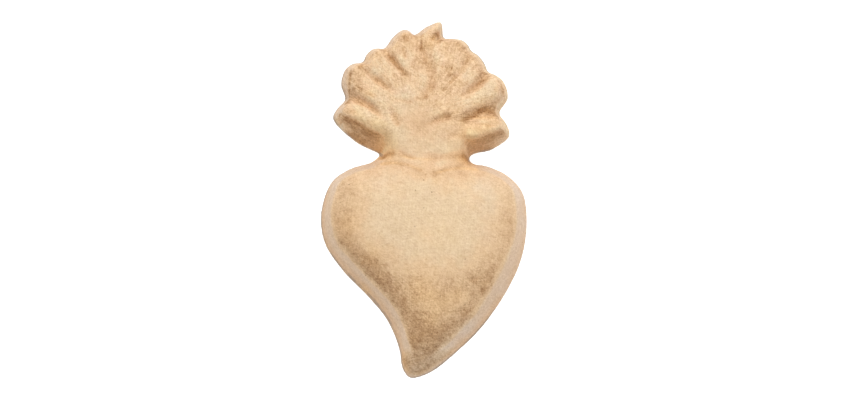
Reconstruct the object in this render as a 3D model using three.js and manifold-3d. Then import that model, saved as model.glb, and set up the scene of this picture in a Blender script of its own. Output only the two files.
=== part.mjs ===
// A flaming-heart votive ornament, moulded in one from brown paper pulp: a plump heart with a crown of
// nine flames over it, in half relief on a flat back. It lies on that back.
// Millimetres. X runs across, Y from the heart's point to the flames, Z up off the back.
import * as THREE from "three";
import { mergeVertices } from "three/addons/utils/BufferGeometryUtils.js";
import Module from "manifold-3d";

const wasm = await Module();
wasm.setup();

// Driving dimensions.
const LENGTH = 190;
const EDGE_HEIGHT = 1.4; // the widest line of the wall lies this far above the back
const BACK_INSET = 1.0; // and the rim of the back this far inside it

const HEART_TOP = 30;
const HEART_CENTRE = [0, -15];
const SHOULDER_DROP = 15; // from the heart's middle down to the top of its wall
const SHOULDER_POWER = 3; // a higher power keeps the face level for longer
const POINT_DROP = 11; // what the face falls besides, on its way to the point
const POINT_DROP_START = -26;
const POINT_DROP_RUN = 66;
const NECK_DROP = 4; // and on its way to the neck
const NECK_DROP_START = -4;
const NECK_DROP_END = 27;
const LOBE_SHARE = 0.5; // the part of the neck's drop that the two lobes are spared
const LOBE_START = 13;
const LOBE_END = 38;

const CROWN_TOP = 25;
const CROWN_CENTRE = [-4, 45];
const CROWN_MIDDLE = 50; // the Y at which the crown's face is highest
const CROWN_DROP_ACROSS = 5;
const CROWN_HALF_WIDTH = 45;
const CROWN_DROP_TO_TIPS = 5.5;
const CROWN_TO_TIPS = 45;
const CROWN_DROP_TO_NECK = 2.4;
const CROWN_TO_NECK = 30;

// How far a wall leans in for each millimetre that it rises.
const WALL_LEAN = 0.28;
const WALL_LEAN_TOWARDS_POINT = 0.4;
const CROWN_WALL_LEAN = 0.27;
const UNDER_LEFT_FLAME_LEAN = 0.46; // the undersides of the lowest flames lean in the most
const UNDER_RIGHT_FLAME_LEAN = 0.34;
const UNDERSIDE_START = 34; // and turn into the other walls between these two levels, round the tips
const UNDERSIDE_END = 48;

// The span of height over which wall and face melt into each other.
const HEART_ROUNDING = 7;
const CROWN_ROUNDING = 5;
const UNDERSIDE_ROUNDING = 5;

// The greatest step between the mesh's places along an outline, the wall's rings, and the face's.
const HEART_STEP = 4.8;
const CROWN_STEP = 2.6;
const NEIGHBOURS = 2; // the places on each side that give an edge its direction
const WALL_STEPS = [1.3, 2.6, 4, 5.6, 7.6];
const HEART_FACE_RINGS = 12;
const CROWN_FACE_RINGS = 14;

// The heart's outline, from the left of the neck round by the point to the right of the neck, and then up
// inside the crown, which hides that end.
const HEART_OUTLINE = [
  [-26.5, 20.4], [-38.5, 16.5], [-47.5, 10.5], [-52.3, 1], [-54.2, -11.5], [-51.5, -24.5],
  [-42.5, -38], [-30, -50.8], [-19, -64.5], [-12.9, -79.5], [-11.1, -90.1], [-7, -94.8],
  [3, -92.1], [16.5, -81.8], [32, -66], [45.6, -45.2], [52.5, -27], [54.2, -9],
  [51.9, 4], [44, 12.6], [33.5, 17.7], [25.2, 19.7], [21.5, 27], [10, 34], [-8, 34], [-19.5, 28],
];

// The flames, from the lowest on the left over the top to the lowest on the right. Each begins in a dip,
// swells by the first number on its way to the tip and by the second after it.
const FLAMES = [
  { dip: [-21.2, 21.9], tip: [-47.9, 43], swell: [2.5, 0.9] },
  { dip: [-41.6, 53.2], tip: [-41.9, 68.7], swell: [2, 1.5] },
  { dip: [-32.3, 73.2], tip: [-27.1, 80.2], swell: [0.8, 0.3] },
  { dip: [-21, 80.7], tip: [-11, 90.7], swell: [0.9, 1] },
  { dip: [-5.2, 88], tip: [9.1, 94.9], swell: [1.1, 0.3] },
  { dip: [10.6, 86.3], tip: [20, 85.2], swell: [0.1, 0.8] },
  { dip: [25.3, 79.2], tip: [30.6, 74.8], swell: [0.4, 0.4] },
  { dip: [33.9, 68.2], tip: [42.2, 62.6], swell: [0.7, 3.3] },
  { dip: [40, 45.9], tip: [45.3, 33.8], swell: [1.1, 2.2] },
];
// The crown's foot, which sinks into the heart.
const CROWN_FOOT = [[24.8, 22.8], [23.5, 15], [12, 6], [-11, 6], [-19.5, 14]];

// The valleys between the flames. Each runs in from its dip along a cubic curve: start, two pulls, end. It
// deepens over the first share of its way, and narrows and dies out over its last.
const VALLEYS = [
  { path: [[-42.4, 52.4], [-35.6, 51.2], [-27.8, 47.4], [-18.6, 37.4]], depth: 4.8, width: 3 },
  { path: [[-32.8, 73.2], [-33.4, 63.8], [-22.6, 59], [-13, 52]], depth: 3, width: 2.5, rise: 0.6 },
  { path: [[-21.8, 80.6], [-19.6, 72.6], [-12.2, 66], [-4.4, 57.4]], depth: 3.6, width: 2.3 },
  { path: [[-5.4, 88.2], [-2.4, 74], [15.5, 58], [-5, 49.4]], depth: 2.5, width: 3.9, fade: 0.3 },
  { path: [[11, 86.8], [12, 82], [12, 77.5], [11.8, 73.8]], depth: 1.2, width: 2 },
  { path: [[26, 79], [23, 71], [19, 63.6], [12.4, 54]], depth: 1.6, width: 2.6 },
  { path: [[34.4, 68], [33.2, 62.4], [29, 55.6], [16.4, 50]], depth: 4, width: 3 },
  { path: [[41, 45.2], [34, 45], [27, 42.6], [17, 37]], depth: 5.6, width: 4.2, fade: 0.5 },
  { path: [[15.8, 42], [10, 38.8], [4, 38.2], [-2, 35]], depth: 2, width: 2.2, rise: 0.2 },
];
const VALLEY_RISE = 0.05;
const VALLEY_FADE = 0.6;
const VALLEY_TAPER = 0.5; // the share of its width that a valley loses on its way in

const SURFACE_COLOUR = 0xd9b98c;

const flat = ([x, y]) => new THREE.Vector3(x, y, 0);
const ease = (value, from, to) => THREE.MathUtils.smoothstep(value, from, to);
const square = (value) => value * value;

function smoothMin(a, b, width) {
  const near = Math.max(width - Math.abs(a - b), 0) / width;
  return Math.min(a, b) - (near * near * width) / 4;
}

// A point off the middle of the line from a to b, to the left of it.
function swollenMiddle([ax, ay], [bx, by], swell) {
  const run = Math.hypot(bx - ax, by - ay);
  return [(ax + bx) / 2 - (swell * (by - ay)) / run, (ay + by) / 2 + (swell * (bx - ax)) / run];
}

// The crown's outline, turned round to run the same way as the heart's.
function crownOutline() {
  const points = FLAMES.flatMap(({ dip, tip, swell }, i) => {
    const next = i + 1 < FLAMES.length ? FLAMES[i + 1].dip : CROWN_FOOT[0];
    return [dip, swollenMiddle(dip, tip, swell[0]), tip, swollenMiddle(tip, next, swell[1])];
  });
  return [...points, ...CROWN_FOOT].reverse();
}

const VALLEY_POINTS = VALLEYS.map(({ path }) =>
  new THREE.CubicBezierCurve3(...path.map(flat)).getSpacedPoints(40),
);

// What the valleys take off the crown's face at a place.
function valleyDepth(x, y) {
  const here = new THREE.Vector3(x, y, 0);
  return VALLEYS.reduce((sum, { depth, width, rise = VALLEY_RISE, fade = VALLEY_FADE }, i) => {
    const points = VALLEY_POINTS[i];
    const distances = points.map((point) => point.distanceTo(here));
    const nearest = Math.min(...distances);
    const along = distances.indexOf(nearest) / (points.length - 1);
    const strength = ease(along, 0, rise) * (1 - ease(along, 1 - fade, 1));
    const reach = width * (1 - VALLEY_TAPER * along);
    return sum + depth * strength * Math.exp(-square(nearest / reach));
  }, 0);
}

function heartFace(x, y, share) {
  const shoulder = SHOULDER_DROP * share ** SHOULDER_POWER;
  const point = POINT_DROP * square(Math.max(POINT_DROP_START - y, 0) / POINT_DROP_RUN);
  const lobes = 1 - LOBE_SHARE * ease(Math.abs(x), LOBE_START, LOBE_END);
  return HEART_TOP - shoulder - point - NECK_DROP * lobes * ease(y, NECK_DROP_START, NECK_DROP_END);
}

function crownFace(x, y) {
  const across = CROWN_DROP_ACROSS * square(x / CROWN_HALF_WIDTH);
  const up = CROWN_DROP_TO_TIPS * square(Math.max(y - CROWN_MIDDLE, 0) / CROWN_TO_TIPS);
  const down = CROWN_DROP_TO_NECK * square(Math.max(CROWN_MIDDLE - y, 0) / CROWN_TO_NECK);
  return CROWN_TOP - across - up - down - valleyDepth(x, y);
}

// How far the wall leans in at a place on the edge, and how softly it turns into the face. The heart's
// wall leans in more where it faces the point.
function heartWall({ inward }) {
  const towardsPoint = Math.max(inward.y, 0);
  return {
    lean: THREE.MathUtils.lerp(WALL_LEAN, WALL_LEAN_TOWARDS_POINT, towardsPoint),
    rounding: HEART_ROUNDING,
  };
}

// The lowest flame on each side has a long sloping underside.
function crownWall({ edge, inward }) {
  const roundTip = ease(edge.y, UNDERSIDE_START, UNDERSIDE_END);
  const under = ease(inward.y, 0.2, 0.85) * (1 - roundTip);
  const gentle = edge.x < 0 ? UNDER_LEFT_FLAME_LEAN : UNDER_RIGHT_FLAME_LEAN;
  return {
    lean: THREE.MathUtils.lerp(CROWN_WALL_LEAN, gentle, under),
    rounding: THREE.MathUtils.lerp(CROWN_ROUNDING, UNDERSIDE_ROUNDING, under),
  };
}

// Places along a closed curve through the points: every point, and even steps of at most `step` between.
// The way in is taken across a few neighbours, so that it doesn't jump at a dip or a tip.
function placesAlong(points, step) {
  const turns = points.flatMap(([x, y], i) => {
    const [nextX, nextY] = points[(i + 1) % points.length];
    const pieces = Math.ceil(Math.hypot(nextX - x, nextY - y) / step);
    return Array.from({ length: pieces }, (_, piece) => (i + piece / pieces) / points.length);
  });
  const curve = new THREE.CatmullRomCurve3(points.map(flat), true, "centripetal");
  const edges = turns.map((turn) => curve.getPoint(turn));
  return edges.map((edge, i) => {
    const before = edges.at(i - NEIGHBOURS);
    const after = edges[(i + NEIGHBOURS) % edges.length];
    const inward = new THREE.Vector3(before.y - after.y, after.x - before.x, 0).normalize();
    return { edge, inward };
  });
}

// A closed moulding over an anticlockwise outline: a lathe whose rings are drawn out to that outline.
function moulding({ points, step, centre, faceRings, face, wall }) {
  const places = placesAlong(points, step);
  const middle = flat(centre);
  const ringCount = WALL_STEPS.length + faceRings + 3;
  const profile = Array.from({ length: ringCount }, (_, ring) => new THREE.Vector2(1, ring));
  const geometry = new THREE.LatheGeometry(profile, places.length);
  const position = geometry.getAttribute("position");

  for (let sector = 0; sector <= places.length; sector++) {
    const place = places[sector % places.length];
    const { edge, inward } = place;
    const { lean, rounding } = wall(place);
    const toMiddle = middle.clone().sub(edge);
    const reach = toMiddle.length();
    const squareness = Math.max(toMiddle.normalize().dot(inward), 0.5);
    const lastStep = WALL_STEPS.at(-1) / squareness;
    const insets = WALL_STEPS.map((distance) => distance / squareness);
    for (let ring = 1; ring <= faceRings; ring++)
      insets.push(THREE.MathUtils.lerp(lastStep, reach, ring / faceRings));

    const put = (ring, inset, heightAt) => {
      const { x, y } = edge.clone().addScaledVector(toMiddle, inset);
      position.setXYZ(sector * ringCount + ring, x, y, heightAt(x, y));
    };
    put(0, reach, () => 0);
    put(1, BACK_INSET / squareness, () => 0);
    put(2, 0, () => EDGE_HEIGHT);
    insets.forEach((inset, i) =>
      put(3 + i, inset, (x, y) => {
        const wallHeight = EDGE_HEIGHT + (inset * squareness) / lean;
        return smoothMin(face(x, y, 1 - inset / reach), wallHeight, rounding);
      }),
    );
  }
  partByShorterDiagonals(geometry);
  return solid(geometry);
}

// Turns each of a lathe's quads so that its two triangles meet along the shorter diagonal.
function partByShorterDiagonals(geometry) {
  const position = geometry.getAttribute("position");
  const index = geometry.getIndex();
  const length = (from, to) => {
    const end = new THREE.Vector3().fromBufferAttribute(position, to);
    return new THREE.Vector3().fromBufferAttribute(position, from).distanceTo(end);
  };
  for (let quad = 0; quad < index.count; quad += 6) {
    const [a, b, d, c] = index.array.slice(quad, quad + 4);
    if (length(a, c) < length(b, d)) index.array.set([a, b, c, a, c, d], quad);
  }
}

// The geometry as a solid, with only its positions kept and its shared vertices merged.
function solid(geometry) {
  geometry.deleteAttribute("normal");
  geometry.deleteAttribute("uv");
  const merged = mergeVertices(geometry, 1e-3);
  return new wasm.Manifold(
    new wasm.Mesh({
      numProp: 3,
      vertProperties: new Float32Array(merged.attributes.position.array),
      triVerts: new Uint32Array(merged.index.array),
    }),
  );
}

function geometryOf(body) {
  const { vertProperties, triVerts } = body.getMesh();
  const geometry = new THREE.BufferGeometry();
  geometry.setAttribute("position", new THREE.BufferAttribute(new Float32Array(vertProperties), 3));
  geometry.setIndex(new THREE.BufferAttribute(new Uint32Array(triVerts), 1));
  return geometry;
}

const heart = moulding({
  points: HEART_OUTLINE,
  step: HEART_STEP,
  centre: HEART_CENTRE,
  faceRings: HEART_FACE_RINGS,
  face: heartFace,
  wall: heartWall,
});

const crown = moulding({
  points: crownOutline(),
  step: CROWN_STEP,
  centre: CROWN_CENTRE,
  faceRings: CROWN_FACE_RINGS,
  face: crownFace,
  wall: crownWall,
});

const geometry = geometryOf(heart.add(crown));
geometry.computeBoundingBox();
const middle = geometry.boundingBox.getCenter(new THREE.Vector3());
const drawn = geometry.boundingBox.max.y - geometry.boundingBox.min.y;
const scale = LENGTH / drawn;
geometry.translate(-middle.x, -middle.y, 0);
geometry.scale(scale, scale, 1);
geometry.computeVertexNormals();

const ornament = new THREE.Mesh(
  geometry,
  new THREE.MeshStandardMaterial({ color: SURFACE_COLOUR, roughness: 0.92, metalness: 0 }),
);
ornament.name = "flaming_heart";

const flamingHeart = new THREE.Group();
flamingHeart.add(ornament);

export default flamingHeart;
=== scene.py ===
"""A flaming-heart votive ornament, moulded in one from brown paper pulp: a plump heart with a crown of nine
flames over it, in half relief on a flat back. It lies on that back on a white table, under soft light."""

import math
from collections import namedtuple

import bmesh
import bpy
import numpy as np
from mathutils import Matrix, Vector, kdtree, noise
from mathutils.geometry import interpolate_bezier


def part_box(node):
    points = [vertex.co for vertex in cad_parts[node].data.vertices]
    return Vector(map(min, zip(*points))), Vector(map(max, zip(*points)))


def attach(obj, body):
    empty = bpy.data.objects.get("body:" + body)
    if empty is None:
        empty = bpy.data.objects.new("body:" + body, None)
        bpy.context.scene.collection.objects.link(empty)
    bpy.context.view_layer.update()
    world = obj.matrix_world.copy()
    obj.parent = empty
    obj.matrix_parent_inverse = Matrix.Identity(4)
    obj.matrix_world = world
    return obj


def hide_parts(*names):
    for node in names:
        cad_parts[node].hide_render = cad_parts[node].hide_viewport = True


bl_info = {
    "name": "Paper-pulp Flaming Heart",
    "version": (1, 0, 0),
    "blender": (4, 5, 0),
    "location": "3D View > Sidebar > Votive",
    "description": "Builds a flaming heart moulded from paper pulp, and the table it lies on",
    "category": "Add Mesh",
}

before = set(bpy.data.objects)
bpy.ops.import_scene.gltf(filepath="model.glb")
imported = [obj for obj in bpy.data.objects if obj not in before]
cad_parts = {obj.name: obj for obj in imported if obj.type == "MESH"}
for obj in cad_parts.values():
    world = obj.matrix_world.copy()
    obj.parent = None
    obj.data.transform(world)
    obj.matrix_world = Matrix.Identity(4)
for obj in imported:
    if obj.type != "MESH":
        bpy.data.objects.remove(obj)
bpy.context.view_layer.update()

NODE = "flaming_heart"
PIECE = "moulded_flaming_heart"

# The ornament is drawn in millimetres: X across, Y from the heart's point to the flames, Z up off the back.
MM = 0.001
EDGE_HEIGHT = 1.4  # the widest line of the wall lies this far above the back
BACK_INSET = 1.0  # and the rim of the back this far inside it

HEART_TOP = 30
HEART_CENTRE = (0, -15)
SHOULDER_DROP = 15  # from the heart's middle down to the top of its wall
SHOULDER_POWER = 3  # a higher power keeps the face level for longer
POINT_DROP = 11  # what the face falls besides, on its way to the point
POINT_DROP_START = -26
POINT_DROP_RUN = 66
NECK_DROP = 4  # and on its way to the neck
NECK_DROP_START = -4
NECK_DROP_END = 27
LOBE_SHARE = 0.5  # the part of the neck's drop that the two lobes are spared
LOBE_START = 13
LOBE_END = 38

CROWN_TOP = 25
CROWN_CENTRE = (-4, 45)
CROWN_MIDDLE = 50  # the Y at which the crown's face is highest
CROWN_DROP_ACROSS = 5
CROWN_HALF_WIDTH = 45
CROWN_DROP_TO_TIPS = 5.5
CROWN_TO_TIPS = 45
CROWN_DROP_TO_NECK = 2.4
CROWN_TO_NECK = 30

# How far a wall leans in for each millimetre that it rises.
WALL_LEAN = 0.28
WALL_LEAN_TOWARDS_POINT = 0.4
CROWN_WALL_LEAN = 0.27
UNDER_LEFT_FLAME_LEAN = 0.46  # the undersides of the lowest flames lean in the most
UNDER_RIGHT_FLAME_LEAN = 0.34
UNDERSIDE_START = 34  # and turn into the other walls between these two levels, round the tips
UNDERSIDE_END = 48

# The span of height over which wall and face melt into each other.
HEART_ROUNDING = 7
CROWN_ROUNDING = 5
UNDERSIDE_ROUNDING = 5

# The heart's outline, from the left of the neck round by the point to the right of the neck, and then up
# inside the crown, which hides that end.
HEART_OUTLINE = [
    (-26.5, 20.4), (-38.5, 16.5), (-47.5, 10.5), (-52.3, 1), (-54.2, -11.5), (-51.5, -24.5),
    (-42.5, -38), (-30, -50.8), (-19, -64.5), (-12.9, -79.5), (-11.1, -90.1), (-7, -94.8),
    (3, -92.1), (16.5, -81.8), (32, -66), (45.6, -45.2), (52.5, -27), (54.2, -9),
    (51.9, 4), (44, 12.6), (33.5, 17.7), (25.2, 19.7), (21.5, 27), (10, 34), (-8, 34), (-19.5, 28),
]

# The flames, from the lowest on the left over the top to the lowest on the right. Each begins in a dip,
# swells by the first number on its way to the tip and by the second after it.
Flame = namedtuple("Flame", "dip tip swell")
FLAMES = [
    Flame((-21.2, 21.9), (-47.9, 43), (2.5, 0.9)),
    Flame((-41.6, 53.2), (-41.9, 68.7), (2, 1.5)),
    Flame((-32.3, 73.2), (-27.1, 80.2), (0.8, 0.3)),
    Flame((-21, 80.7), (-11, 90.7), (0.9, 1)),
    Flame((-5.2, 88), (9.1, 94.9), (1.1, 0.3)),
    Flame((10.6, 86.3), (20, 85.2), (0.1, 0.8)),
    Flame((25.3, 79.2), (30.6, 74.8), (0.4, 0.4)),
    Flame((33.9, 68.2), (42.2, 62.6), (0.7, 3.3)),
    Flame((40, 45.9), (45.3, 33.8), (1.1, 2.2)),
]
# The crown's foot, which sinks into the heart.
CROWN_FOOT = [(24.8, 22.8), (23.5, 15), (12, 6), (-11, 6), (-19.5, 14)]

# The valleys between the flames. Each runs in from its dip along a cubic curve: start, two pulls, end. It
# deepens over the first share of its way, and narrows and dies out over its last.
Groove = namedtuple("Groove", "path depth width rise fade", defaults=(0.05, 0.6))
VALLEYS = [
    Groove([(-42.4, 52.4), (-35.6, 51.2), (-27.8, 47.4), (-18.6, 37.4)], 4.8, 3),
    Groove([(-32.8, 73.2), (-33.4, 63.8), (-22.6, 59), (-13, 52)], 3, 2.5, 0.6, 0.45),
    Groove([(-21.8, 80.6), (-19.6, 72.6), (-12.2, 66), (-4.4, 57.4)], 3.6, 2.3),
    Groove([(-5.4, 88.2), (-2.4, 74), (15.5, 58), (-5, 49.4)], 2.5, 3.9, 0.05, 0.3),
    Groove([(11, 86.8), (12, 82), (12, 77.5), (11.8, 73.8)], 1.2, 2),
    Groove([(26, 79), (23, 71), (19, 63.6), (12.4, 54)], 1.6, 2.6),
    Groove([(34.4, 68), (33.2, 62.4), (29, 55.6), (16.4, 50)], 4, 3),
    Groove([(41, 45.2), (34, 45), (27, 42.6), (17, 37)], 5.6, 4.2, 0.05, 0.5),
    Groove([(15.8, 42), (10, 38.8), (4, 38.2), (-2, 35)], 2, 2.2, 0.2, 0.6),
]
VALLEY_TAPER = 0.5  # the share of its width that a valley loses on its way in

# Small creases and dents that handling and drying left in the face.
CREASES = [
    Groove([(-8.1, 85), (-8.2, 83.5), (-8.2, 82), (-8, 80)], 0.8, 1.1, 0.3, 0.3),
    Groove([(-10.3, 86.4), (-10.4, 85), (-10.4, 84), (-10.2, 83)], 0.4, 0.8, 0.3, 0.3),
    Groove([(-11.2, 79), (-10.8, 76), (-10, 73), (-8.6, 70)], 0.6, 1.2, 0.3, 0.3),
    Groove([(8.2, 86.6), (6.6, 84.5), (5, 82), (3.4, 80.4)], 1.4, 1.8, 0.3, 0.3),
    Groove([(23.5, 37.9), (30, 36.2), (36, 36.2), (41, 35.8)], 0.5, 0.8, 0.3, 0.3),
    Groove([(-16.4, 44), (-15.2, 41), (-14, 38), (-12.4, 34.4)], 0.9, 2, 0.3, 0.3),
    Groove([(-5, 48.4), (-8, 48), (-12, 48.4), (-15.4, 50.4)], 0.4, 1.2, 0.2, 0.3),
    Groove([(17.2, 64), (16.4, 61.6), (14.6, 59), (12.4, 57)], 0.7, 1.3, 0.3, 0.3),
    Groove([(-38.6, 65), (-38, 62.5), (-38, 60), (-38.4, 57.6)], 0.4, 0.9, 0.3, 0.3),
    Groove([(11.5, 31.6), (16, 29.6), (20, 31), (24, 32.4)], 0.6, 2.4, 0.3, 0.3),
    Groove([(-14.4, 23.6), (-10.8, 20.6), (-8, 18.8), (-2, 17.8)], 0.5, 0.9, 0.3, 0.3),
    Groove([(-3, 19.4), (6, 18.4), (16, 18.6), (26, 20.4)], 0.8, 2.4, 0.3, 0.3),
    Groove([(-25, 20.4), (-21, 21.6), (-18, 21.8), (-14, 21)], 1, 2.2, 0.3, 0.3),
    Groove([(-18, 17.8), (-7, 13), (-4, 7.4), (3, 8)], 0.5, 2.8, 0.3, 0.1),
    Groove([(3, 8), (9, 9.2), (12, 15), (22, 17.4)], 0.5, 2.8, 0.1, 0.3),
    Groove([(22, -45.4), (24, -47), (27, -46), (30, -42.6)], 0.35, 0.8, 0.3, 0.3),
    Groove([(28.2, -50), (30.4, -49), (31.4, -52), (30, -54.6)], 0.3, 0.7, 0.3, 0.3),
]

# Dents and pits: where, how deep and how wide.
Dent = namedtuple("Dent", "place depth radius")
DENTS = [
    Dent((-28.2, 73.4), 0.5, 1.8),
    Dent((21.6, 77), 0.5, 2),
    Dent((9.8, 66.8), 0.6, 0.9),
    Dent((14.6, 66.2), 0.6, 0.9),
    Dent((12.2, 64), 0.5, 2.8),
    Dent((10.4, 54.6), 0.4, 1.6),
    Dent((-44, 42.4), 0.5, 0.8),
    Dent((-43.4, 39.6), 0.6, 0.9),
]

# Darker strokes and spots in the paper: how dark and how wide they are in place of how deep.
STROKES = [
    Groove([(-38.2, 66.4), (-38.8, 61), (-39.4, 55.6), (-39.2, 50.4)], 0.5, 0.7, 0.2, 0.3),
    Groove([(-37.6, 57), (-33, 55.2), (-29, 52.6), (-24, 49.4)], 0.35, 1.8, 0.1, 0.4),
    Groove([(-25.5, 64.3), (-22.7, 61.8), (-19.3, 59.3), (-15, 56.6)], 0.25, 2, 0.2, 0.4),
    Groove([(-18.1, 73.3), (-14.4, 69.8), (-10.9, 64.9), (-6.5, 61)], 0.35, 1.6, 0.1, 0.5),
    Groove([(-9.2, 86.7), (-10.6, 82.4), (-10.6, 78.2), (-9.7, 73.9)], 0.35, 1.3, 0.3, 0.4),
    Groove([(-2.3, 85.6), (-1.5, 79.9), (-0.9, 74.2), (0.3, 68.5)], 0.25, 3, 0.3, 0.5),
    Groove([(7.2, 87.8), (7.6, 86), (8, 84.2), (8.3, 82.4)], 0.1, 2, 0.3, 0.4),
    Groove([(4, 86.7), (4.5, 84.9), (5.1, 83.1), (5.6, 81.3)], 0.2, 1.2, 0.3, 0.4),
    Groove([(10.4, 82.9), (8.8, 81.7), (7.2, 80.4), (5.6, 79.2)], 0.4, 1.2, 0.2, 0.4),
    Groove([(10.4, 66.9), (15.8, 67.6), (14.5, 64), (11.4, 62.7)], 0.35, 2.6, 0.2, 0.2),
    Groove([(26.2, 73.9), (22.7, 69.6), (19.3, 65.2), (16.7, 60)], 0.1, 1.8, 0.1, 0.5),
    Groove([(33, 65.3), (31, 62.1), (28.1, 59.2), (24.1, 56.8)], 0.15, 2, 0.1, 0.5),
    Groove([(39.9, 61), (41.6, 57.5), (43.1, 53.5), (42, 48.2)], 0.4, 0.7, 0.2, 0.2),
    Groove([(39.4, 46.1), (34.1, 46), (28.3, 44.3), (20, 39.5)], 0.3, 2.6, 0.1, 0.2),
    Groove([(13.5, 42.9), (9.3, 40.8), (6.3, 39.4), (3, 38.4)], 0.15, 1.2, 0.2, 0.4),
    Groove([(-5.5, 50.4), (-3.7, 49.2), (0.2, 49.3), (3, 52)], 0.5, 1.2, 0.2, 0.2),
    Groove([(13.5, 32), (17, 31.2), (20.5, 30.8), (24, 31)], 0.15, 2.4, 0.2, 0.2),
    Groove([(-21, 22.5), (-12, 21.6), (-9, 18), (0, 18.6)], 0.25, 1.2, 0.1, 0.5),
    Groove([(0, 18.6), (7, 17.4), (12, 20), (20, 21)], 0.2, 1.6, 0.3, 0.1),
    Groove([(-28, 16.6), (-16, 16), (-7, 16.5), (2.2, 8.5)], 0.3, 1.5, 0.1, 0.2),
    Groove([(25, 16.6), (16, 14), (9, 12), (2.2, 8.5)], 0.3, 1.5, 0.1, 0.2),
    Groove([(-41, 4.5), (-38.7, 1.7), (-36.3, -1.2), (-34, -4)], 0.3, 2, 0.3, 0.5),
]
# Spots with less than nothing take the browning off where the moulding's own shade falls deepest, a painted light.
SPOTS_AND_PAINTED_LIGHT = [
    Dent((-32.9, 68), 0.8, 1.6),
    Dent((-40.3, 49.3), 0.5, 1.5),
    Dent((20, 77), 0.25, 3),
    Dent((-21.3, 21.1), 0.6, 2),
    Dent((-17, 31), -0.4, 6),
    Dent((25, 31), -0.45, 4),
    Dent((21.5, 20.6), 0.7, 2.2),
    Dent((-31.8, -36.6), 0.6, 0.8),
    Dent((-20.2, -38.5), 0.6, 0.8),
    Dent((15, 57), 0.4, 8),
    Dent((-12, 60), 0.3, 5),
    Dent((0, 68), 0.2, 7),
    Dent((16, 81), 0.2, 6),
    Dent((21, 39), 0.3, 4),
    Dent((2, 54), 0.15, 7),
    Dent((8, -62), -0.35, 9),
    Dent((8, -74), 0.2, 5),
    Dent((25, -57), -0.2, 7),
    Dent((25, -45), 0.35, 6),
    Dent((-8, -51), 0.15, 6),
    Dent((-3, -42), 0.2, 7),
    Dent((-36, -8), 0.3, 7),
    Dent((-42, 4), 0.1, 6),
    Dent((-43, -6), -0.2, 5),
    Dent((-12, 68), -0.35, 4),
    Dent((-27, 65), -0.15, 4),
    Dent((-31, 55), 0.25, 4),
    Dent((-34, 50), -0.2, 4),
    Dent((5, 73), -0.2, 4),
    Dent((28, 41), -0.15, 4),
    Dent((-3, 34), 0.12, 5),
    Dent((-1, 80), -0.15, 2.5),
    Dent((-22, 76), 0.2, 4),
    Dent((20, 60), -0.15, 4),
    Dent((4, 81), 0.15, 4),
    Dent((1, -23), 0.12, 5),
    Dent((-6, -46), 0.12, 5),
    Dent((6, -94), -0.3, 4),
    Dent((5, -67), -0.15, 4),
    Dent((13, 9), 0.2, 4),
    Dent((46, 3), 0.15, 5),
    Dent((-43, -41), 0.3, 5),
    Dent((8, 87), -0.2, 4),
    Dent((-30, -32), -0.15, 8),
    Dent((42, -31), -0.35, 6),
    Dent((-5, -76), 0.35, 5),
    Dent((20, 11), 0.25, 5),
    Dent((4, 11), 0.25, 4),
    Dent((23, 36), 0.25, 7),
    Dent((4, 62), -0.3, 6),
    Dent((-44, -27), 0.3, 6),
    Dent((-30, -51), 0.3, 7),
    Dent((-30, 48), -0.4, 5),
    Dent((-24, 30), -0.3, 5),
    Dent((-44, 37), -0.7, 5),
    Dent((-35, 62), 0.25, 6),
    Dent((-34, 29), 0.3, 4),
    Dent((22, 66), -0.2, 5),
    Dent((33, 58), -0.3, 5),
    Dent((42, 59), 0.3, 4),
    Dent((36, -45), -0.2, 6),
    Dent((15, -69), -0.15, 8),
    Dent((-4, -80), -0.15, 5),
    Dent((12, -49), 0.22, 8),
    Dent((0, -95), 0.6, 5),
    Dent((27, -5), 0.15, 6),
    Dent((2, 34), 0.1, 8),
    Dent((-11, 82), 0.15, 6),
    Dent((-2, 83), -0.25, 4),
    Dent((24, 27), -0.15, 3),
    Dent((11, 20), -0.35, 6),
    Dent((-3, 28), -0.2, 7),
    Dent((15, -36), 0.15, 5),
    Dent((-17, -36), 0.12, 5),
    Dent((27, -61), 0.25, 5),
    Dent((10, 60), 0.15, 4),
    Dent((8, 3), 0.12, 6),
    Dent((28, 68), 0.15, 5),
    Dent((29, 41), -0.25, 4),
    Dent((34, 50), -0.15, 5),
    Dent((0, 34), 0.12, 5),
    Dent((1, 56), -0.2, 5),
    Dent((-26, 62), -0.2, 5),
    Dent((-10, 50), -0.15, 6),
    Dent((-36, -51), 0.5, 7),
    Dent((-17, -70), 0.3, 5),
    Dent((24, -71), 0.2, 6),
    Dent((-10, -94), 0.2, 5),
    Dent((30, 14), 0.2, 4),
    Dent((2, -87), 0.2, 5),
    Dent((-37, -16), 0.1, 5),
    Dent((-1, 12), 0.25, 6),
    Dent((28, 35), 0.3, 4),
    Dent((15, 41), 0.2, 4),
    Dent((-16, 54), 0.2, 4),
    Dent((-42, 5), 0.15, 5),
    Dent((41, 28), -0.35, 4),
    Dent((24, 18), 0.5, 4),
    Dent((15, -78), 0.2, 5),
    Dent((30, -47), 0.15, 6),
    Dent((-40, 43), 0.3, 4),
    Dent((-33, 41), -0.2, 4),
    Dent((36, 41), 0.2, 4),
]
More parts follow.
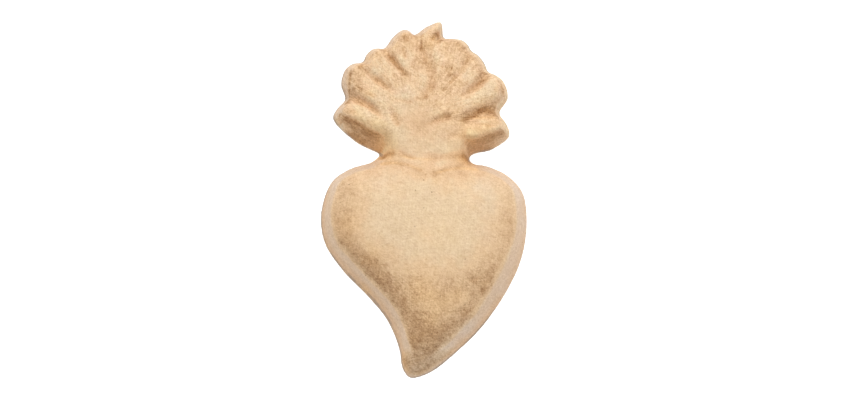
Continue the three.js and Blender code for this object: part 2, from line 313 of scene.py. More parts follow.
# Where the paper is warmer, and with less than nothing where it is cooler. Both tints also lighten the paper, a
# painted light: on the neck's shaded sides the warm one lifts the shade and stands in for warm bounced light, and
# many cool patches light the heart's right side, where the light falls.
WARM_STROKES = [
    Groove([(-24, 15.6), (-14, 17.2), (-8, 16), (3.5, 8.6)], 0.5, 1, 0.1, 0.3),
    Groove([(30, 13), (21, 14.6), (11, 12.5), (3.5, 8.6)], 0.5, 1, 0.1, 0.2),
    Groove([(-14, 20.4), (-8, 18.6), (0, 16.8), (8, 18.4)], 0.5, 0.9, 0.2, 0.3),
    Groove([(24, 40.5), (30, 40), (36, 40.6), (40, 41)], 0.4, 1, 0.2, 0.2),
]
WARMTHS_AND_PAINTED_LIGHT = [
    Dent((50, 2), -0.5, 7),
    Dent((56, -14), -0.7, 6),
    Dent((44, -50), -0.6, 5),
    Dent((-47, 7), -0.4, 7),
    Dent((-35, 41), 0.6, 5),
    Dent((34, 35), 0.5, 6),
    Dent((-28, 52), 0.4, 5),
    Dent((3, 80), 0.5, 5),
    Dent((30, 48), 0.3, 6),
    Dent((12, 43), 0.3, 8),
    Dent((-29, 73), 0.5, 5),
    Dent((8, -22), 0.3, 16),
    Dent((-3, -51), 0.35, 10),
    Dent((19, -54), 0.4, 6),
    Dent((27, 13), 0.5, 5),
    Dent((-39, -17), 0.4, 9),
    Dent((-3, -94), -1, 6),
    Dent((2, -86), -0.4, 6),
    Dent((-28, 37), 0.4, 4),
    Dent((-26, -33), 0.4, 6),
    Dent((4, -67), 0.4, 5),
    Dent((14, 22), 0.4, 5),
    Dent((32, -24), -0.4, 6),
    Dent((-20, 24), 1, 7),
    Dent((-22, 34), 0.5, 6),
    Dent((21, 19), 0.8, 4),
    Dent((24, 31), 0.8, 6),
    Dent((-43, 36), -0.6, 4),
    Dent((42, 28), -1, 4),
    Dent((8, -90), -1, 7),
    Dent((11, -78), -0.7, 7),
    Dent((-3, -84), -0.4, 6),
    Dent((21, -79), 0.5, 5),
    Dent((22, -69), -0.6, 7),
    Dent((3, -56), 0.3, 9),
    Dent((12, -60), 0.3, 7),
    Dent((32, 4), -0.6, 9),
    Dent((34, -10), -0.4, 7),
    Dent((-22, 6), -0.4, 9),
    Dent((-10, 54), -0.4, 7),
]


class PulpShape(bpy.types.PropertyGroup):
    """How finely the ornament is made, and how uneven its moulding left it."""

    fineness: bpy.props.FloatProperty(
        name="Fineness",
        description="The size of the mesh's faces",
        default=0.7 * MM,
        unit="LENGTH",
    )
    unevenness: bpy.props.FloatProperty(
        name="Unevenness",
        description="How far the broad swells of the drying pulp stand out or fall in",
        default=0.3 * MM,
        unit="LENGTH",
    )
    lumps: bpy.props.FloatProperty(
        name="Lumps",
        description="How far the small lumps of fibre stand out",
        default=0.08 * MM,
        unit="LENGTH",
    )
    neck_softening: bpy.props.IntProperty(
        name="Neck softening",
        description="How many times the join of heart and flames is smoothed over",
        default=120,
    )


class PulpFinish(bpy.types.PropertyGroup):
    """The colours of the dry paper pulp."""

    paper: bpy.props.FloatVectorProperty(
        name="Paper",
        description="The dry pulp where it is cleanest",
        default=(0.738, 0.55, 0.354),
        subtype="COLOR",
    )
    yellowed: bpy.props.FloatVectorProperty(
        name="Yellowed paper",
        description="The pulp where it has only begun to brown",
        default=(0.735, 0.508, 0.305),
        subtype="COLOR",
    )
    golden: bpy.props.FloatVectorProperty(
        name="Golden paper",
        description="The same in the flames and on the neck",
        default=(0.742, 0.502, 0.304),
        subtype="COLOR",
    )
    tinge: bpy.props.FloatVectorProperty(
        name="Browned paper",
        description="The heart where it is brownest, on its shoulder and its point",
        default=(0.485, 0.283, 0.14),
        subtype="COLOR",
    )
    ochre: bpy.props.FloatVectorProperty(
        name="Ochre",
        description="The flames and the neck where they are brownest, in the hollows",
        default=(0.47, 0.26, 0.118),
        subtype="COLOR",
    )
    # A thin dark line along the outline: partly dirt, partly a painted contact shadow.
    grime_and_contact_shadow: bpy.props.FloatVectorProperty(
        name="Grime",
        description="The thin dark line along the outline",
        default=(0.3, 0.23, 0.18),
        subtype="COLOR",
    )
    fleck: bpy.props.FloatVectorProperty(
        name="Fleck",
        description="Darker fibres and specks in the pulp",
        default=(0.3, 0.165, 0.085),
        subtype="COLOR",
    )
    rim: bpy.props.FloatVectorProperty(
        name="Rim",
        description="The greyer paper of the wall",
        default=(0.705, 0.514, 0.36),
        subtype="COLOR",
    )


class Studio(bpy.types.PropertyGroup):
    """The table, the light and the camera."""

    table: bpy.props.FloatVectorProperty(
        name="Table",
        description="The colour of the table top",
        default=(0.25, 0.25, 0.25),
        subtype="COLOR",
    )
    glow: bpy.props.FloatProperty(
        name="Table glow",
        description="The light that comes up through the table top",
        default=1.1,
    )
    key: bpy.props.FloatProperty(
        name="Key light",
        description="The power of the large soft light beyond the flames",
        default=18,
        unit="POWER",
    )
    surroundings: bpy.props.FloatProperty(
        name="Surroundings",
        description="How bright the room is",
        default=0.55,
    )
    camera_distance: bpy.props.FloatProperty(
        name="Camera distance",
        description="From the lens to the middle of the ornament",
        default=3,
        unit="LENGTH",
    )
    camera_elevation: bpy.props.FloatProperty(
        name="Camera elevation",
        description="How steeply the camera looks down",
        default=math.radians(81),
        subtype="ANGLE",
    )


def ease(value, start, end):
    """0 up to the start, 1 from the end, and a soft step between them."""
    share = np.clip((value - start) / (end - start), 0, 1)
    return share * share * (3 - 2 * share)


def smooth_min(first, second, width):
    """The lesser of the two, with the corner where they cross rounded over that width."""
    near = np.maximum(width - np.abs(first - second), 0) / width
    return np.minimum(first, second) - near * near * width / 4


def closed_curve(points, step):
    """Places along a smooth closed curve through the points, at most a step apart."""
    points = [Vector(point) for point in points]
    places = []
    for i, here in enumerate(points):
        before = points[i - 1]
        after = points[(i + 1) % len(points)]
        beyond = points[(i + 2) % len(points)]
        gaps = [math.sqrt((b - a).length) for a, b in ((before, here), (here, after), (after, beyond))]
        slopes = [(here - before) / gaps[0], (after - here) / gaps[1], (beyond - after) / gaps[2]]
        leaving = slopes[0] - (after - before) / (gaps[0] + gaps[1]) + slopes[1]
        arriving = slopes[1] - (beyond - here) / (gaps[1] + gaps[2]) + slopes[2]
        pieces = math.ceil((after - here).length / step)
        pull = here + leaving * gaps[1] / 3
        push = after - arriving * gaps[1] / 3
        places += interpolate_bezier(here, pull, push, after, pieces + 1)[:-1]
    return np.array(places)


def swollen_middle(start, end, swell):
    """A point off the middle of the line from start to end, to the left of it."""
    start = Vector(start)
    run = Vector(end) - start
    aside = Vector((-run.y, run.x)).normalized()
    return start + run / 2 + aside * swell


def crown_outline():
    """The crown's outline, turned round to run the same way as the heart's."""
    points = []
    next_dips = [flame.dip for flame in FLAMES[1:]] + [CROWN_FOOT[0]]
    for flame, next_dip in zip(FLAMES, next_dips):
        rise = swollen_middle(flame.dip, flame.tip, flame.swell[0])
        fall = swollen_middle(flame.tip, next_dip, flame.swell[1])
        points += [flame.dip, rise, flame.tip, fall]
    return [*points, *CROWN_FOOT][::-1]


def along_path(x, y, path):
    """How far each place lies from a cubic curve, and how far along the curve that is, from 0 to 1."""
    points = interpolate_bezier(*[Vector(point) for point in path], 33)
    runs = [(end - start).length for start, end in zip(points, points[1:])]
    nearest = np.full(np.shape(x), np.inf)
    along = np.zeros(np.shape(x))
    passed = 0
    for start, end, run in zip(points, points[1:], runs):
        way = (end - start) / run
        reached = np.clip((x - start.x) * way.x + (y - start.y) * way.y, 0, run)
        distance = np.hypot(x - start.x - reached * way.x, y - start.y - reached * way.y)
        closer = distance < nearest
        nearest = np.where(closer, distance, nearest)
        along = np.where(closer, (passed + reached) / sum(runs), along)
        passed += run
    return nearest, along


def pressed_in(groove, distance, along, width):
    """The depth of a groove at that distance from its line and that share of its length."""
    strength = ease(along, 0, groove.rise) * (1 - ease(along, 1 - groove.fade, 1))
    return groove.depth * strength * np.exp(-((distance / width) ** 2))


def valley_depth(x, y):
    """What the valleys take off the crown's face."""
    total = np.zeros(np.shape(x))
    for valley in VALLEYS:
        distance, along = along_path(x, y, valley.path)
        width = valley.width * (1 - VALLEY_TAPER * along)
        total += pressed_in(valley, distance, along, width)
    return total


def heart_face(x, y, share):
    """The height of the heart's face; the share goes from 0 at its middle to 1 at its outline."""
    shoulder = SHOULDER_DROP * np.maximum(share, 0) ** SHOULDER_POWER
    point = POINT_DROP * (np.maximum(POINT_DROP_START - y, 0) / POINT_DROP_RUN) ** 2
    lobes = 1 - LOBE_SHARE * ease(np.abs(x), LOBE_START, LOBE_END)
    return HEART_TOP - shoulder - point - NECK_DROP * lobes * ease(y, NECK_DROP_START, NECK_DROP_END)


def crown_face(x, y, share):
    """The height of the crown's face, the same however near its outline is."""
    across = CROWN_DROP_ACROSS * (x / CROWN_HALF_WIDTH) ** 2
    up = CROWN_DROP_TO_TIPS * (np.maximum(y - CROWN_MIDDLE, 0) / CROWN_TO_TIPS) ** 2
    down = CROWN_DROP_TO_NECK * (np.maximum(CROWN_MIDDLE - y, 0) / CROWN_TO_NECK) ** 2
    return CROWN_TOP - across - up - down - valley_depth(x, y)


def heart_wall(edge, inward):
    """How far the wall leans in at each place, and how softly it turns into the face."""
    towards_point = np.maximum(inward[:, 1], 0)
    lean = WALL_LEAN + (WALL_LEAN_TOWARDS_POINT - WALL_LEAN) * towards_point
    return lean, np.full(len(edge), HEART_ROUNDING)


def crown_wall(edge, inward):
    """The same for the crown, whose lowest flame on each side has a long sloping underside."""
    under = ease(inward[:, 1], 0.2, 0.85) * (1 - ease(edge[:, 1], UNDERSIDE_START, UNDERSIDE_END))
    gentle = np.where(edge[:, 0] < 0, UNDER_LEFT_FLAME_LEAN, UNDER_RIGHT_FLAME_LEAN)
    lean = CROWN_WALL_LEAN + (gentle - CROWN_WALL_LEAN) * under
    return lean, CROWN_ROUNDING + (UNDERSIDE_ROUNDING - CROWN_ROUNDING) * under


DIRECTION_REACH = 5  # the run of outline on each side that gives an edge its direction
WALL_RUN = 8  # the wall's rings lie close together over this distance from the edge
WALL_RINGS = 16
FACE_RINGS = 54


def moulding(outline, step, centre, face, wall):
    """A closed moulding: a line spun into rings, which are then drawn out to the outline."""
    edge = closed_curve(outline, step)
    reach = round(DIRECTION_REACH / step)
    chord = np.roll(edge, -reach, axis=0) - np.roll(edge, reach, axis=0)
    inward = np.stack([-chord[:, 1], chord[:, 0]], axis=1) / np.hypot(*chord.T)[:, None]
    to_centre = np.array(centre) - edge
    distance = np.hypot(*to_centre.T)[:, None]
    to_centre /= distance
    squareness = np.maximum((to_centre * inward).sum(axis=1), 0.5)[:, None]
    lean, rounding = (column[:, None] for column in wall(edge, inward))

    wall_end = WALL_RUN / squareness
    wall_insets = wall_end * np.linspace(0, 1, WALL_RINGS + 1)[None, 1:]
    face_insets = wall_end + (distance - wall_end) * np.linspace(0, 1, FACE_RINGS + 1)[None, 1:]
    insets = np.hstack([wall_insets, face_insets])
    x = edge[:, :1] + to_centre[:, :1] * insets
    y = edge[:, 1:] + to_centre[:, 1:] * insets
    wall_height = EDGE_HEIGHT + insets * squareness / lean
    height = smooth_min(face(x, y, 1 - insets / distance), wall_height, rounding)

    def ring(inset, z):
        place = edge + to_centre * inset
        return np.column_stack([place, np.full(len(edge), z)])[:, None]

    under = [ring(distance, 0), ring(BACK_INSET / squareness, 0), ring(0, EDGE_HEIGHT)]
    shape = np.concatenate([*under, np.stack([x, y, height], axis=2)], axis=1)

    form = bmesh.new()
    line = [form.verts.new((1, 0, level)) for level in range(shape.shape[1])]
    links = [form.edges.new(pair) for pair in zip(line, line[1:])]
    sectors = len(edge)
    bmesh.ops.spin(
        form, geom=line + links, cent=(0, 0, 0), axis=(0, 0, 1), angle=math.tau, steps=sectors, use_merge=True
    )
    for vert in form.verts:
        sector = round(math.atan2(vert.co.y, vert.co.x) / math.tau * sectors) % sectors
        vert.co = shape[sector, round(vert.co.z)]
    bmesh.ops.remove_doubles(form, verts=form.verts, dist=1e-4)
    bmesh.ops.recalc_face_normals(form, faces=form.faces)
    return form


def joined_mesh(forms):
    """One mesh that holds all the forms, which may overlap."""
    mesh = bpy.data.meshes.new(PIECE)
    together = bmesh.new()
    for form in forms:
        form.to_mesh(mesh)
        form.free()
        together.from_mesh(mesh)
    together.to_mesh(mesh)
    together.free()
    return mesh


def fused(mesh, fineness):
    """The overlapping forms melted into one even skin."""
    ornament = bpy.data.objects.new(PIECE, mesh)
    bpy.context.scene.collection.objects.link(ornament)
    remesh = ornament.modifiers.new("One skin", "REMESH")
    remesh.mode = "VOXEL"
    remesh.voxel_size = fineness
    remesh.use_smooth_shade = True
    drawn = bpy.context.evaluated_depsgraph_get()
    skin = bpy.data.meshes.new_from_object(ornament.evaluated_get(drawn))
    ornament.modifiers.clear()
    ornament.data = skin
    bpy.data.meshes.remove(mesh)
    return ornament


def places_of(mesh):
    """The mesh's vertices, a row each."""
    places = np.empty(len(mesh.vertices) * 3, np.float32)
    mesh.vertices.foreach_get("co", places)
    return places.reshape(-1, 3).astype(float)


def normals_of(mesh):
    """The directions that the mesh's vertices face, a row each."""
    normals = np.empty(len(mesh.vertices) * 3, np.float32)
    mesh.vertices.foreach_get("normal", normals)
    return normals.reshape(-1, 3).astype(float)


def put_places(mesh, places):
    """Moves the mesh's vertices to the rows."""
    mesh.vertices.foreach_set("co", places.astype(np.float32).ravel())
    mesh.update()


def edges_of(mesh):
    """The mesh's edges, a pair of vertices each."""
    edges = np.empty(len(mesh.edges) * 2, np.int32)
    mesh.edges.foreach_get("vertices", edges)
    return edges.reshape(-1, 2)


def blurred(values, edges, passes):
    """The values at the mesh's vertices, evened out with their neighbours'."""
    count = len(values)
    neighbours = np.bincount(edges.ravel(), minlength=count)[:, None]
    for _ in range(passes):
        columns = []
        for column in values.T:
            ahead = np.bincount(edges[:, 0], weights=column[edges[:, 1]], minlength=count)
            behind = np.bincount(edges[:, 1], weights=column[edges[:, 0]], minlength=count)
            columns.append(ahead + behind)
        values = (values + np.stack(columns, axis=1)) / (1 + neighbours)
    return values


SKIN_PASSES = 3
NECK_MIDDLE = (0, 18.5)
NECK_REACH = (36, 13)  # how far the softened join runs to each side, and up and down
NECK_FLOOR = (5, 14)  # the heights between which it begins, so that the outline stays


def soften(mesh, neck_passes):
    """Smooths the whole skin a little, and the join of heart and flames a good deal more."""
    places = places_of(mesh)
    edges = edges_of(mesh)
    aside, along = ((places[:, i] - NECK_MIDDLE[i]) / NECK_REACH[i] for i in (0, 1))
    neck = (1 - ease(np.hypot(aside, along), 0.3, 1)) * ease(places[:, 2], *NECK_FLOOR)
    skin = ease(places[:, 2], 0, EDGE_HEIGHT)
    for passes, weight in ((SKIN_PASSES, skin), (neck_passes, neck)):
        for _ in range(passes):
            places += (blurred(places, edges, 1) - places) * weight[:, None]
    put_places(mesh, places)


SWELL_SIZE = 17  # millimetres from one broad swell to the next
LUMP_SIZE = 3.2
NOISE_SHIFT = Vector((3.1, 7.7, 1.3))


def total_of(x, y, grooves, dents):
    """What all the grooves and dents come to at each place."""
    total = np.zeros(len(x))
    for groove in grooves:
        distance, along = along_path(x, y, groove.path)
        total += pressed_in(groove, distance, along, groove.width)
    for dent in dents:
        distance = np.hypot(x - dent.place[0], y - dent.place[1])
        total += dent.depth * np.exp(-((distance / dent.radius) ** 2))
    return total


def relief(mesh, unevenness, lumps):
    """Adds the creases, dents, swells and lumps that are too fine for the moulding's own form."""
    places = places_of(mesh)
    x, y, z = places.T
    pressed = total_of(x, y, CREASES, DENTS)
    swells = np.array([noise.noise(Vector(place) / SWELL_SIZE + NOISE_SHIFT) for place in places])
    fibre = np.array([noise.fractal(Vector(place) / LUMP_SIZE, 0.8, 2, 3) for place in places])
    raised = unevenness * swells + lumps * fibre - pressed
    places += normals_of(mesh) * (raised * ease(z, 0.5, 3))[:, None]
    places[z < 0.4, 2] = 0
    put_places(mesh, places)


HOLLOW_PASSES = 26
FINE_HOLLOW_PASSES = 6


def inset_from(outline, x, y):
    """How far each place lies from the outline."""
    edge = closed_curve(outline, 0.8)
    nearby = kdtree.KDTree(len(edge))
    for i, place in enumerate(edge):
        nearby.insert((*place, 0), i)
    nearby.balance()
    return np.array([nearby.find((*place, 0))[2] for place in zip(x, y)])


def wear_and_shade(places, normals):
    """How brown each part of the skin is, the browning being partly a painted shade towards the heart's point and on
    the flames' undersides, which face away from the key light; how far it is the wall's greyer paper; how dirty it is
    along its outline, partly a painted contact shade; and its warm and cool tints, partly painted light.
    """
    x, y, z = places.T
    inset = inset_from(HEART_OUTLINE, x, y)
    gentle = ease(x, 5, 35) * ease(-y, 15, 40)
    inside = np.maximum(ease(inset, 4, 8 + 2 * gentle) * ease(z, 6, 10), 0.75 * ease(-y, 76, 86) * ease(z, 2, 6))
    shoulder = 0.4 * (1 - ease(inset, 12, 34)) + 0.5 * (1 - ease(inset, 9, 20))
    shoulder *= (0.65 + 0.35 * ease(-y, 5, 40)) * (1 - 0.7 * ease(y, -8, 8))
    # Browner towards the point: partly the paper's own browning, partly a painted shade where the face turns down,
    # away from the light.
    point = 0.95 * ease(-y, 30, 70)
    heart = inside * np.maximum(shoulder, point) + 0.12 * ease(y, -8, 10)
    heart_rim = 1 - ease(inset, 4, 7.5 + 2 * gentle)

    # The lowest flames' undersides face away from the key light; their browning is partly real and partly a painted
    # shade.
    low = ease(-normals[:, 1], 0.2, 0.6) * (1 - ease(y, 44, 48))
    along_flame = ease(np.abs(x), 17, 25) * (1 - 0.6 * ease(np.abs(x), 40, 47))
    underside = low * ease(z, 1, 4) * (1 - ease(z, 16.5, 20.5)) * along_flame * np.where(x < 0, 0.9, 0.7)
    crown_inset = inset_from(crown_outline(), x, y)
    edging = 0.15 * (1 - ease(crown_inset, 5, 14)) * ease(y, 45, 55)
    flames = (0.22 + edging) * ease(z, 8, 14) + underside + 0.12 * valley_depth(x, y) * ease(z, 10, 15)
    flame_rim = (1 - ease(normals[:, 2], 0.35, 0.75)) * (1 - low) * ease(y, 32, 42) * (1 - 0.6 * ease(x, 0, 10))

    crown = ease(y, 16, 24)
    # The spots with less than nothing lighten the moulding's own shade, a painted light.
    marked = total_of(x, y, STROKES, SPOTS_AND_PAINTED_LIGHT) + 0.28 * total_of(x, y, CREASES, DENTS)
    browned_and_shaded = heart * (1 - crown) + flames * crown + marked * ease(z, 0.5, 4)
    rim = heart_rim * (1 - crown) + flame_rim * crown
    # Darker along the outline near the table: partly dirt, partly a painted contact shade, which reaches further in
    # at the lower left, away from the light, and fades on the right, where the light falls.
    reach = 4 + 4 * ease(-x, 5, 25) * ease(-y, 25, 45)
    from_edge = np.where(y > NECK_MIDDLE[1], crown_inset, inset)
    soiled_and_shadowed = (1 - ease(from_edge, 0.5, reach)) * (1 - ease(z, 8, 14))
    soiled_and_shadowed *= 1 - 0.5 * ease(x, 35, 50)
    return browned_and_shaded, rim, soiled_and_shadowed, total_of(x, y, WARM_STROKES, WARMTHS_AND_PAINTED_LIGHT)


FAN_CENTRE = (-4, 38)  # where the streaks in the flames come from
UNDERSIDE_FAN_CENTRE = (-6, 12)  # and those on the undersides of the lowest two
FAN_RADIUS = 30  # the distance out at which the streaks are as wide as their noise is fine
FAN_STRETCH = 5


def streaks(places, normals):
    """Where in a noise each place lies so that its grains run out along the flames, and how far they show."""
    x, y, z = places.T
    low = ease(-normals[:, 1], 0.2, 0.6) * (1 - ease(y, 40, 46))
    sideways, outwards = (
        value - (start + (low_start - start) * low)
        for value, start, low_start in zip((x, y), FAN_CENTRE, UNDERSIDE_FAN_CENTRE)
    )
    distance = np.hypot(sideways, outwards)
    around = np.stack([sideways, outwards]) / distance * FAN_RADIUS
    return np.vstack([around, distance / FAN_STRETCH]).T, ease(y, 22, 42) * ease(distance, 3, 14)


def mark(mesh, name, values):
    """Stores a number or a place for each vertex under that name."""
    if values.ndim == 1:
        marked = mesh.attributes.new(name, "FLOAT", "POINT")
        marked.data.foreach_set("value", values.astype(np.float32))
    else:
        marked = mesh.attributes.new(name, "FLOAT_VECTOR", "POINT")
        marked.data.foreach_set("vector", values.astype(np.float32).ravel())


def mark_wear_and_shade(mesh):
    """Stores the skin's browning, greyer wall paper, dirty outline and tints, with painted shade and light mixed into
    them, its streaks, and how far it lies below its surroundings, wide and near.
    """
    places = places_of(mesh)
    edges = edges_of(mesh)
    normals = normals_of(mesh)
    for name, values in zip(("stain_and_shade", "rim", "soiled_and_shadowed", "warmth_and_painted_light"), wear_and_shade(places, normals)):
        mark(mesh, name, values)
    flow, streaked = streaks(places, normals)
    mark(mesh, "flow", flow * MM)
    mark(mesh, "streaked", streaked)
    mark(mesh, "hollow", ((blurred(places, edges, HOLLOW_PASSES) - places) * normals).sum(axis=1))
    mark(mesh, "fine_hollow", ((blurred(places, edges, FINE_HOLLOW_PASSES) - places) * normals).sum(axis=1))


def fit_to_frame(mesh):
    """Moves and scales the finished millimetre mesh into the frame's own box, in metres."""
    places = places_of(mesh)
    lowest, highest = places.min(axis=0), places.max(axis=0)
    wanted_lowest, wanted_highest = (np.array(corner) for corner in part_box(NODE))
    scale = (wanted_highest - wanted_lowest) / (highest - lowest)
    put_places(mesh, wanted_lowest + (places - lowest) * scale)


class Value:
    """One socket of a shader. Arithmetic on values adds the Math nodes that work it out."""

    def __init__(self, material, socket):
        self.material = material
        self.socket = socket

    def math(self, operation, *numbers):
        return self.material.node("Math", {"operation": operation}, dict(enumerate(numbers)))

    def __add__(self, other):
        return self.math("ADD", self, other)

    def __sub__(self, other):
        return self.math("SUBTRACT", self, other)

    def __rsub__(self, other):
        return self.math("SUBTRACT", other, self)

    def __mul__(self, other):
        return self.math("MULTIPLY", self, other)

    __radd__ = __add__
    __rmul__ = __mul__


class Finish:
    """A material, with one method that adds any of its nodes."""

    def __init__(self, name):
        self.material = bpy.data.materials.new(name)
        self.material.use_nodes = True
        self.tree = self.material.node_tree
        self.shader = self.tree.nodes["Principled BSDF"]

    def node(self, kind, settings=None, inputs=None, output=0):
        """Adds a node: its settings first, then the numbers or values of its sockets."""
        added = self.tree.nodes.new("ShaderNode" + kind)
        for name, setting in (settings or {}).items():
            setattr(added, name, setting)
        for name, given in (inputs or {}).items():
            self.feed(added.inputs[name], given)
        return Value(self, added.outputs[output])

    def feed(self, socket, given):
        if isinstance(given, Value):
            self.tree.links.new(given.socket, socket)
        else:
            socket.default_value = given

    def set(self, **sockets):
        """Feeds the shader's own sockets, named with underscores for spaces."""
        for name, given in sockets.items():
            self.feed(self.shader.inputs[name.replace("_", " ")], given)

    def position(self, scale=(1, 1, 1), turn=0):
        """The place on the piece in metres, stretched and then turned about the vertical."""
        place = self.node("TexCoord", output="Object")
        turned = {"Vector": place, "Rotation": (0, 0, turn), "Scale": scale}
        return self.node("Mapping", {"vector_type": "TEXTURE"}, turned)

    def noise(self, size, detail=2, rough=0.5, place=None):
        """Noise from 0 to 1 whose grains are that many metres across."""
        sockets = {"Scale": 1 / size, "Detail": detail, "Roughness": rough}
        if place:
            sockets["Vector"] = place
        else:
            sockets["Vector"] = self.position()
        return self.node("TexNoise", {}, sockets)

    def span(self, value, start, end):
        """The value mapped softly from start..end to 0..1."""
        sockets = {"Value": value, "From Min": start, "From Max": end}
        return self.node("MapRange", {"interpolation_type": "SMOOTHSTEP"}, sockets)

    def mix(self, share, first, second, blend="MIX"):
        """A colour between two colours, which are triples or values."""
        first, second = (given if isinstance(given, Value) else (*given, 1) for given in (first, second))
        settings = {"data_type": "RGBA", "blend_type": blend}
        return self.node("Mix", settings, {0: share, 6: first, 7: second}, output=2)


def pulp_material(colours):
    """Dry brown paper pulp: mottled, full of short fibres and specks, and browner below its top faces, partly its own
    browning and partly a painted shade; lighter and warmer in patches of painted light.
    """
    pulp = Finish("Dry paper pulp")
    stain_and_shade, rim, soiled_and_shadowed, warmth_and_painted_light, streaked, hollow, fine_hollow = (
        pulp.node("Attribute", {"attribute_name": name}, output="Fac")
        for name in ("stain_and_shade", "rim", "soiled_and_shadowed", "warmth_and_painted_light", "streaked", "hollow", "fine_hollow")
    )
    flow = pulp.node("Attribute", {"attribute_name": "flow"}, output="Vector")

    broad = pulp.noise(0.018, detail=2)
    clouds = pulp.noise(0.0055, detail=3, rough=0.6)
    blots = pulp.noise(0.0018, detail=3, rough=0.7)
    grain = pulp.noise(0.0008, detail=2, rough=0.6)
    tint = pulp.noise(0.004, detail=3, rough=0.6)
    streak = (pulp.noise(0.0011, detail=3, rough=0.65, place=flow) - 0.5) * streaked

    patches = 1 + (broad - 0.5) * 0.8 + (clouds - 0.5) * 0.6 + (blots - 0.5) * 0.4 + streak * 0.8
    browned_and_shaded = stain_and_shade * patches + (broad - 0.5) * 0.3 + (clouds - 0.5) * 0.2 + hollow * 0.12 + streak * 0.4

    upwards = pulp.node("SeparateXYZ", {}, {"Vector": pulp.node("TexCoord", output="Object")}, output="Y")
    flames = pulp.span(upwards, 0, 0.014)
    yellow = pulp.mix(flames, colours.yellowed, colours.golden)
    brown = pulp.mix(flames, colours.tinge, colours.ochre)
    edge = pulp.span(rim + (clouds - 0.5) * 0.7 + (blots - 0.5) * 0.5, 0.25, 0.85)
    # Towards yellow and brown with the browning, which towards the heart's point and on the flames' undersides is
    # partly a painted shade.
    colour = pulp.mix(pulp.span(browned_and_shaded, 0, 0.35), colours.paper, yellow)
    colour = pulp.mix(pulp.span(browned_and_shaded, 0.25, 1.15), colour, brown)
    colour = pulp.mix(edge * (1 - pulp.span(stain_and_shade, 0.2, 0.6)), colour, colours.rim)
    colour = pulp.mix(pulp.span(fine_hollow, 0.03, 0.25) * 0.35, colour, brown)
    blotch = pulp.span(blots + clouds * 0.4 + browned_and_shaded * 0.12, 0.82, 1.02) * pulp.span(browned_and_shaded, 0.2, 0.8)
    colour = pulp.mix(blotch * 0.4, colour, colours.fleck)
    # Warm and cool tints, both a little lighter than the paper: partly its own hue, partly painted light.
    colour = pulp.mix(pulp.span(warmth_and_painted_light, 0, 1), colour, (1.13, 1.08, 0.93), "MULTIPLY")
    colour = pulp.mix(pulp.span(0 - warmth_and_painted_light, 0, 1), colour, (0.98, 1.07, 1.22), "MULTIPLY")

    colour = pulp.mix(0.45 + streaked * 0.35, colour, pulp.mix(tint, (1.02, 1, 1.08), (0.99, 1.01, 0.88)), "MULTIPLY")
    lay = 0.5 + (grain - 0.5) * 0.9 + (blots - 0.5) * 0.8 - streak * (0.5 + pulp.span(stain_and_shade, 0.5, 1))
    for turn in (0.15, -0.7, 1.4):
        place = pulp.position(scale=(0.0044, 0.0007, 0.0016), turn=turn)
        lay += (pulp.node("TexNoise", {}, {"Vector": place, "Scale": 1, "Detail": 2}) - 0.5) * 0.9
    lower = pulp.span(0 - upwards, 0.02, 0.05)
    depth = 0.34 + streaked * 0.25 + pulp.span(browned_and_shaded, 0.2, 1) * (0.35 + 0.35 * lower)
    colour = pulp.mix(depth, colour, pulp.mix(lay, (0.55, 0.45, 0.35), (1.4, 1.52, 1.65)), "MULTIPLY")

    speck_place = pulp.position()
    speck_distance = pulp.node("TexVoronoi", {}, {"Vector": speck_place, "Scale": 230}, output="Distance")
    speck_chance = pulp.node("TexVoronoi", {}, {"Vector": speck_place, "Scale": 230}, output="Color")
    chosen = pulp.span(pulp.node("SeparateColor", {}, {"Color": speck_chance}), 0.86, 0.9)
    speck = (1 - pulp.span(speck_distance, 0.05, 0.13)) * chosen
    colour = pulp.mix(speck * 0.5, colour, (0.2, 0.11, 0.055))
    # The outline's darker band and its thin dark line: partly dirt, partly a painted contact shadow where the wall
    # meets the table.
    colour = pulp.mix(soiled_and_shadowed * (0.8 - flames * 0.7), colour, (0.97, 0.86, 0.72), "MULTIPLY")
    colour = pulp.mix(pulp.span(soiled_and_shadowed, 0.93, 1) * pulp.span(clouds, 0.2, 0.6) * 0.7, colour, colours.grime_and_contact_shadow)

    height = lay * 0.7 + clouds * 0.5 - speck * 0.5
    bump = pulp.node("Bump", {}, {"Height": height, "Strength": 0.5, "Distance": 0.0005}, output="Normal")
    pulp.set(Base_Color=colour, Roughness=0.86 + 0.1 * grain, Normal=bump)
    pulp.set(**{"Specular IOR Level": 0.25})
    return pulp.material


def table_material(studio):
    """A white table top that glows a little, so that it stays white under the ornament's shadow."""
    top = Finish("White table top")
    top.set(Base_Color=(*studio.table, 1), Roughness=0.6)
    top.set(Emission_Color=(1, 1, 1, 1), Emission_Strength=studio.glow)
    return top.material


class VOTIVE_OT_flaming_heart(bpy.types.Operator):
    """Builds the heart and its crown of flames as one moulded piece of dry paper pulp"""

    bl_idname = "votive.flaming_heart"
    bl_label = "Flaming heart"

    def execute(self, context):
        shape = context.scene.pulp_shape
        heart = moulding(HEART_OUTLINE, 1.5, HEART_CENTRE, heart_face, heart_wall)
        crown = moulding(crown_outline(), 0.8, CROWN_CENTRE, crown_face, crown_wall)
        ornament = fused(joined_mesh([heart, crown]), shape.fineness / MM)
        soften(ornament.data, shape.neck_softening)
        relief(ornament.data, shape.unevenness / MM, shape.lumps / MM)
        mark_wear_and_shade(ornament.data)
        fit_to_frame(ornament.data)
        ornament.data.materials.clear()
        ornament.data.materials.append(pulp_material(context.scene.pulp_finish))
        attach(ornament, "root")
        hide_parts(NODE)
        return {"FINISHED"}


TABLE_SIZE = 8
SENSOR = 36
IMAGE_WIDTH = 854
METRES_PER_PIXEL = 0.0005275  # at the ornament
AIM = Vector((0.00166, -0.00316, 0.002))


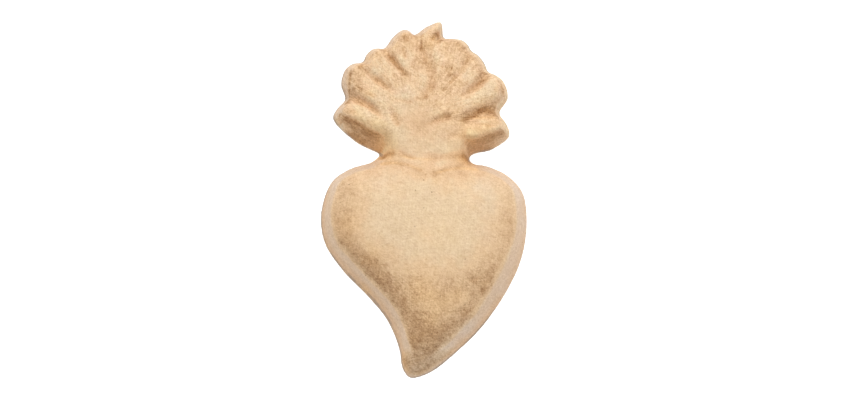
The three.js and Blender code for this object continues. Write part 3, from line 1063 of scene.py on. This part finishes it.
class VOTIVE_OT_studio(bpy.types.Operator):
    """Lays a white table under the ornament and sets up the soft light and the camera"""

    bl_idname = "votive.studio"
    bl_label = "Studio"

    def execute(self, context):
        studio = context.scene.votive_studio
        self.table(context, studio)
        self.lights(context, studio)
        self.camera(context, studio)
        return {"FINISHED"}

    def table(self, context, studio):
        form = bmesh.new()
        bmesh.ops.create_grid(form, x_segments=1, y_segments=1, size=TABLE_SIZE / 2)
        mesh = bpy.data.meshes.new("table_top")
        form.to_mesh(mesh)
        form.free()
        mesh.materials.append(table_material(studio))
        top = bpy.data.objects.new("table_top", mesh)
        context.scene.collection.objects.link(top)

    def lights(self, context, studio):
        world = bpy.data.worlds.new("Room")
        world.use_nodes = True
        room = world.node_tree.nodes["Background"].inputs
        room["Color"].default_value = (1, 1, 1, 1)
        room["Strength"].default_value = studio.surroundings
        context.scene.world = world
        light = bpy.data.lights.new("key_light", "AREA")
        light.shape = "DISK"
        light.size = 1
        light.energy = studio.key
        key = bpy.data.objects.new("key_light", light)
        key.location = (0.12, 0.72, 1.45)
        key.rotation_euler = (-key.location).to_track_quat("-Z", "Y").to_euler()
        context.scene.collection.objects.link(key)

    def camera(self, context, studio):
        lens = bpy.data.cameras.new("camera")
        lens.sensor_width = SENSOR
        lens.lens = SENSOR * studio.camera_distance / (IMAGE_WIDTH * METRES_PER_PIXEL)
        camera = bpy.data.objects.new("camera", lens)
        back = Vector((0, -math.cos(studio.camera_elevation), math.sin(studio.camera_elevation)))
        camera.location = AIM + back * studio.camera_distance
        camera.rotation_euler = (-back).to_track_quat("-Z", "Y").to_euler()
        context.scene.collection.objects.link(camera)
        context.scene.camera = camera
        context.scene.view_settings.view_transform = "Standard"


class VOTIVE_PT_panel(bpy.types.Panel):
    """Lists the ornament's sizes and colours and the two steps that build the scene"""

    bl_label = "Votive"
    bl_idname = "VOTIVE_PT_panel"
    bl_space_type = "VIEW_3D"
    bl_region_type = "UI"
    bl_category = "Votive"

    def draw(self, context):
        scene = context.scene
        steps = (
            (VOTIVE_OT_flaming_heart, (scene.pulp_shape, scene.pulp_finish)),
            (VOTIVE_OT_studio, (scene.votive_studio,)),
        )
        for operator, groups in steps:
            box = self.layout.box()
            for group in groups:
                for name in group.__annotations__:
                    box.prop(group, name)
            box.operator(operator.bl_idname)


CLASSES = (PulpShape, PulpFinish, Studio, VOTIVE_OT_flaming_heart, VOTIVE_OT_studio, VOTIVE_PT_panel)


def register():
    for cls in CLASSES:
        bpy.utils.register_class(cls)
    bpy.types.Scene.pulp_shape = bpy.props.PointerProperty(type=PulpShape)
    bpy.types.Scene.pulp_finish = bpy.props.PointerProperty(type=PulpFinish)
    bpy.types.Scene.votive_studio = bpy.props.PointerProperty(type=Studio)


def unregister():
    del bpy.types.Scene.votive_studio
    del bpy.types.Scene.pulp_finish
    del bpy.types.Scene.pulp_shape
    for cls in reversed(CLASSES):
        bpy.utils.unregister_class(cls)


def main():
    register()
    bpy.ops.votive.flaming_heart()
    bpy.ops.votive.studio()


if __name__ == "__main__":
    main()
